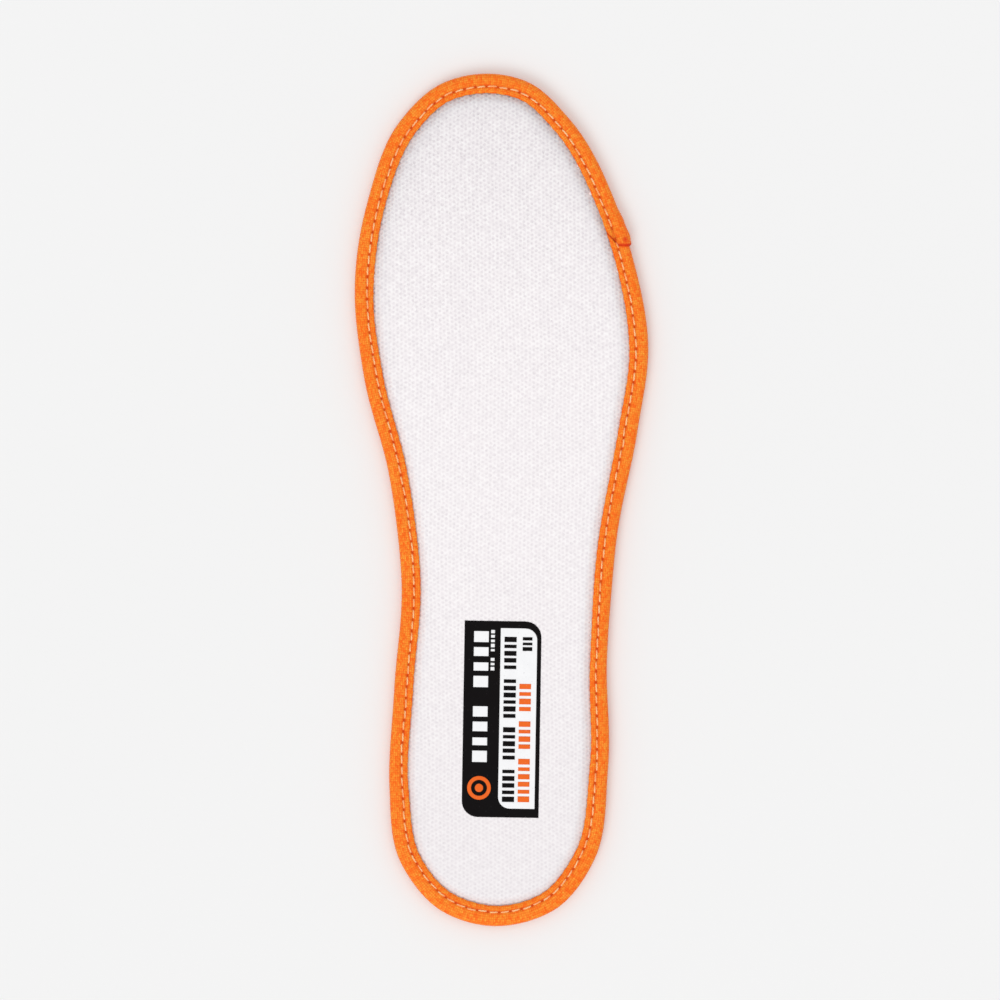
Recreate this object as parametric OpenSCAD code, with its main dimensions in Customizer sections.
// Cushioned work-shoe insole, right foot, size 40, with a bound and stitched edge.
// +Y points to the toes, -X to the big toe and +Z up. The origin is on the floor at the middle
// of the insole's box. Every layer is cut in two at the toe break, where the insole flexes.

/* [Outline] */
// Overall length from heel to toe
insole_l = 266.7; // [240:0.1:300]
// Distance from the heel to the toe break on the big toe's side
break_inner = 194; // [180:1:205]
// Distance from the heel to the toe break on the little toe's side
break_outer = 170; // [155:1:185]
// Gap between the rear and front halves of each layer
break_gap = 0.3; // [0.2:0.05:0.6]

/* [Layers] */
// Thickness of the non-woven lining under the foot bed
lining_t = 1.0; // [0.9:0.05:1.4]
// Thickness of one puncture-resistant woven ply
ply_t = 0.6; // [0.4:0.05:0.8]
// Thickness of the foam cushion
foam_t = 1.8; // [1.5:0.1:4]
// Thickness of the foam where the binding squeezes it
foam_rim_t = 0.6; // [0.4:0.05:1]
// Thickness of the air-mesh cover
mesh_t = 1.0; // [0.8:0.05:2]
// Thickness of the mesh where the binding squeezes it
mesh_rim_t = 0.5; // [0.3:0.05:0.7]

/* [Binding] */
// Thickness of the folded edge tape
tape_t = 0.6; // [0.55:0.05:0.8]
// Width of the tape seen on the top and on the bottom
tape_face_w = 6; // [5:0.1:8]
// Length of the overlap where the tape's two ends meet
lap_l = 7; // [5:0.5:12]
// Distance along the seam from the heel's tip to the middle of that overlap
lap_run = 361; // [340:1:375]

/* [Seam] */
// Distance from the insole's edge to the stitch line
seam_inset = 3.7; // [2.5:0.1:4.5]
// Length of one stitch with its hole
stitch_pitch = 3.5; // [2.5:0.1:5]
// Part of that length hidden in the hole
stitch_hidden = 1.1; // [0.6:0.1:1.5]
// Thread diameter
thread_d = 0.4; // [0.3:0.05:0.45]

/* [Label] */
// Width of the printed label
label_w = 24; // [16:0.5:30]
// Length of the printed label
label_l = 61.5; // [50:0.5:80]
// Distance from the heel to the label's middle
label_y = 65; // [55:1:90]
// Turn of the label, clockwise seen from above
label_turn = 0.95; // [0:0.05:3]
// Thickness of one printed film
film_t = 0.1; // [0.05:0.01:0.2]

/* [Hidden] */

// The bound edge seen from above at a length of 266.7, clockwise from the heel's tip
OUTLINE = [
    [-2, 0], [-20, 5.5], [-31.5, 20], [-35, 43], [-33.5, 75], [-31.2, 108], [-35.5, 142],
    [-43, 172], [-45.8, 196], [-42, 227], [-31.5, 252], [-19, 263.5], [-4.5, 266.7],
    [9, 263.8], [21.5, 252.5], [34.5, 229], [42.5, 204], [45.9, 180], [42.5, 155],
    [36, 120], [33, 82], [33.5, 50], [29, 21], [17.5, 5.7]
];
span_steps = 5;      // points on the curve from one outline point to the next

ply_count = 4;
edge_gap = 0.1;      // room between the layers' edges and the inside of the tape's fold
seam_gap = 0.2;      // room between the tape's inner edge and the layers that stand beside it
fold_step = 0.4;     // the small step that stands for the round of the fold
groove_w = 1.0;      // width of the groove that the seam pulls into the tape
groove_d = thread_d + 0.05;

stack_inset = tape_t + edge_gap;
bed_inset = tape_face_w + seam_gap;
core_top = lining_t + ply_count * ply_t;
rim_top = core_top + foam_rim_t + mesh_rim_t;
tape_top = rim_top + tape_t;
foam_top = core_top + foam_t;
bed_top = foam_top + mesh_t;

break_mid = (break_inner + break_outer) / 2 - insole_l / 2;
reach = 2 * insole_l;

orange = [0.97, 0.49, 0.12];
thread_orange = [0.98, 0.72, 0.50];
mesh_white = [0.95, 0.94, 0.95];
felt_grey = [0.80, 0.80, 0.78];
ply_cream = [0.90, 0.87, 0.78];
foam_white = [0.93, 0.92, 0.86];
ink_black = [0.08, 0.08, 0.09];

// ---- The outline: a smooth closed curve through OUTLINE, centred on its own box ----

function wrap(i) = (i + len(OUTLINE)) % len(OUTLINE);
function chord(i) = OUTLINE[wrap(i + 1)] - OUTLINE[wrap(i)];

// Unit direction at point i: its two chords, each weighted by the other's length
function tangent(i) =
    let (back = chord(i - 1), ahead = chord(i))
    (back / norm(back) * norm(ahead) + ahead / norm(ahead) * norm(back)) / (norm(back) + norm(ahead));

function span_point(i, t) =
    let (size = norm(chord(i)))
    (2 * t^3 - 3 * t^2 + 1) * OUTLINE[i] + (t^3 - 2 * t^2 + t) * size * tangent(i)
    + (3 * t^2 - 2 * t^3) * OUTLINE[wrap(i + 1)] + (t^3 - t^2) * size * tangent(i + 1);

function span_slope(i, t) =
    let (size = norm(chord(i)))
    (6 * t^2 - 6 * t) * (OUTLINE[i] - OUTLINE[wrap(i + 1)])
    + (3 * t^2 - 4 * t + 1) * size * tangent(i) + (3 * t^2 - 2 * t) * size * tangent(i + 1);

spans = [for (i = [0 : len(OUTLINE) - 1], k = [0 : span_steps - 1]) [i, k / span_steps]];
raw_edge = [for (s = spans) span_point(s[0], s[1])];
raw_x = [for (p = raw_edge) p[0]];
raw_y = [for (p = raw_edge) p[1]];
raw_mid = [max(raw_x) + min(raw_x), max(raw_y) + min(raw_y)] / 2;
raw_scale = insole_l / (max(raw_y) - min(raw_y));
edge = [for (p = raw_edge) (p - raw_mid) * raw_scale];
outward = [for (s = spans) let (d = span_slope(s[0], s[1])) [-d[1], d[0]] / norm(d)];

break_turn = atan2(break_outer - break_inner, (max(raw_x) - min(raw_x)) * raw_scale);

function inset_loop(inset) = [for (k = [0 : len(edge) - 1]) edge[k] - inset * outward[k]];

// ---- The stitch line, looked up by the distance run along it from the heel's tip ----

seam = inset_loop(seam_inset);
seam_runs = [
    for (k = 0, run = 0; k <= len(seam); run = run + norm(seam[(k + 1) % len(seam)] - seam[k % len(seam)]),
         k = k + 1) run
];
seam_l = seam_runs[len(seam)];
seam_x = [for (k = [0 : len(seam)]) [seam_runs[k], seam[k % len(seam)][0]]];
seam_y = [for (k = [0 : len(seam)]) [seam_runs[k], seam[k % len(seam)][1]]];
function on_seam(run) = [lookup(run, seam_x), lookup(run, seam_y)];
stitch_count = round(seam_l / stitch_pitch);

// ---- Shared shapes ----

// A flat layer from z0 to z1 whose edge lies inset from the insole's edge
module layer(inset, z0, z1) {
    translate([0, 0, z0]) linear_extrude(z1 - z0) polygon(inset_loop(inset));
}

module ring(outer_inset, inner_inset, z0, z1) {
    difference() {
        layer(outer_inset, z0, z1);
        layer(inner_inset, z0 - 1, z1 + 1);
    }
}

// Everything in front of the toe break
module front_space() {
    translate([0, break_mid, -reach / 2])
        rotate([0, 0, break_turn])
        translate([-reach / 2, break_gap / 2, 0])
        cube([reach, reach, reach]);
}

// Everything behind the toe break
module rear_space() {
    translate([0, break_mid, -reach / 2])
        rotate([0, 0, break_turn])
        translate([-reach / 2, -reach - break_gap / 2, 0])
        cube([reach, reach, reach]);
}

module rear() {
    intersection() {
        children();
        rear_space();
    }
}

module fore() {
    intersection() {
        children();
        front_space();
    }
}

// ---- Layers ----

module lining() {
    color(felt_grey) {
        layer(stack_inset, tape_t, lining_t);
        layer(bed_inset, 0, lining_t);
    }
}

// The puncture-resistant plies count from 1 at the bottom
module ply(number) {
    color(ply_cream)
        layer(stack_inset, lining_t + (number - 1) * ply_t, lining_t + number * ply_t);
}

module foam() {
    color(foam_white) {
        layer(stack_inset, core_top, core_top + foam_rim_t);
        layer(bed_inset + mesh_t, core_top, foam_top);
    }
}

// The mesh lies over the foam, comes down its side and runs out under the tape. The label's
// films are pressed into it, flush with its top.
module mesh() {
    color(mesh_white) difference() {
        union() {
            layer(bed_inset, foam_top, bed_top);
            ring(bed_inset, bed_inset + mesh_t, core_top + foam_rim_t, bed_top);
            ring(stack_inset, bed_inset + mesh_t, core_top + foam_rim_t, rim_top);
        }
        film(0, 2 * films_t) label_outline();
    }
}

// ---- Binding tape: folded round the edge, grooved by the seam above and below ----

module seam_groove(z0, z1) {
    ring(seam_inset - groove_w / 2, seam_inset + groove_w / 2, z0, z1);
}

// The tape's second end, laid over the first
module tape_lap() {
    ahead = on_seam(lap_run + 1) - on_seam(lap_run - 1);
    intersection() {
        difference() {
            layer(-tape_t, tape_t, tape_top + tape_t);
            layer(0, 0, tape_top);
            layer(tape_face_w, 0, tape_top + 2 * tape_t);
        }
        translate(on_seam(lap_run))
            rotate([0, 0, atan2(ahead[1], ahead[0])])
            translate([-lap_l / 2, -lap_l, 0])
            cube([lap_l, 2 * lap_l, 2 * tape_top]);
    }
}

module tape() {
    color(orange) difference() {
        union() {
            layer(fold_step, 0, fold_step);
            layer(0, fold_step, tape_top - fold_step);
            layer(fold_step, tape_top - fold_step, tape_top);
            tape_lap();
        }
        layer(tape_t, tape_t, rim_top);
        layer(tape_face_w, -1, tape_top + 2 * tape_t);
        seam_groove(-1, groove_d);
        seam_groove(tape_top - groove_d, tape_top + 2 * tape_t);
    }
}

// ---- Lockstitch: the needle thread shows on top, the bobbin thread underneath ----

module stitch(start) {
    from = on_seam(start);
    along = on_seam(start + stitch_pitch - stitch_hidden) - from;
    translate(from)
        rotate([0, 90, atan2(along[1], along[0])])
        cylinder(d = thread_d, h = norm(along), $fn = 16);
}

// A row of stitches round the edge, with its thread's centre at height z
module stitch_row(z) {
    color(thread_orange)
        translate([0, 0, z])
        for (k = [0 : stitch_count - 1])
            stitch((k + 0.2) * seam_l / stitch_count);
}

module needle_thread() {
    stitch_row(tape_top - groove_d + thread_d / 2);
}

module bobbin_thread() {
    stitch_row(groove_d - thread_d / 2);
}

// ---- Printed label on the heel: films in the label's own frame, its length along Y ----

panel_w = 11.6;
panel_l = label_l - 4.7;
panel_x = 5.1;
mark_x = -6.7;       // middle of the marks on the black strip
corner_r = 5;        // the label's two round corners
panel_corner_r = 3.6;
films_t = 3 * film_t;   // the base film, the panel film and the print on it

// A rectangle whose top right and bottom left corners are round
module leaf(w, l, r) {
    difference() {
        square([w, l], center = true);
        translate([w / 2 - r, l / 2 - r]) square(2 * r);
        translate([-w / 2 - r, -l / 2 - r]) square(2 * r);
    }
    translate([w / 2 - r, l / 2 - r]) circle(r, $fn = 48);
    translate([-w / 2 + r, -l / 2 + r]) circle(r, $fn = 48);
}

// A print row's blocks lie centred on x, one per slot from y0 up, with gaps between groups
module block_row(x, y0, y1, height, slots, gaps) {
    pitch = (y1 - y0) / slots;
    for (k = [0 : slots - 1])
        if (len([for (g = gaps) if (g == k) g]) == 0)
            translate([x, y0 + (k + 0.5) * pitch])
                square([height, pitch * (0.62 + 0.14 * cos(140 * k))], center = true);
}

// A flat print shape in its place, as the film with this number from the bottom
module film(number, thickness = film_t) {
    translate([0, label_y - insole_l / 2, bed_top - films_t + number * film_t])
        rotate([0, 0, -label_turn])
        linear_extrude(thickness)
        children();
}

module label_outline() {
    leaf(label_w, label_l, corner_r);
}

module label_base() {
    color(ink_black) film(0) label_outline();
}

module label_panel() {
    color("white") film(1) translate([panel_x, 0]) leaf(panel_w, panel_l, panel_corner_r);
}

// A plain sun-like mark: a disc inside an open ring
module label_emblem() {
    color(orange) film(1) translate([mark_x, -21.5]) {
        circle(d = 2.6);
        difference() {
            circle(d = 7.4);
            circle(d = 5);
        }
    }
}

module label_bars_white() {
    color("white") film(1) {
        block_row(mark_x, -14, 28, 4.6, 9, [4]);
        block_row(mark_x + 3.6, 15, 28, 1.2, 9, [3]);
    }
}

module label_bars_black() {
    color(ink_black) film(2) {
        block_row(2.4, -26, 26, 3.8, 24, [5, 11, 18]);
        block_row(7.7, 21.2, 26, 3.0, 3, []);
    }
}

module label_bars_orange() {
    color(orange) film(2) block_row(7.2, -26, 11.5, 3.6, 16, [6, 11]);
}

rear() lining();  // lining_rear
rear() ply(1);  // ply_1_rear
rear() ply(2);  // ply_2_rear
rear() ply(3);  // ply_3_rear
rear() ply(4);  // ply_4_rear
rear() foam();  // foam_rear
rear() mesh();  // mesh_rear
rear() tape();  // tape_rear
rear() needle_thread();  // needle_thread_rear
rear() bobbin_thread();  // bobbin_thread_rear
fore() lining();  // lining_fore
fore() ply(1);  // ply_1_fore
fore() ply(2);  // ply_2_fore
fore() ply(3);  // ply_3_fore
fore() ply(4);  // ply_4_fore
fore() foam();  // foam_fore
fore() mesh();  // mesh_fore
fore() tape();  // tape_fore
fore() needle_thread();  // needle_thread_fore
fore() bobbin_thread();  // bobbin_thread_fore
label_base();
label_panel();
label_emblem();
label_bars_white();
label_bars_black();
label_bars_orange();
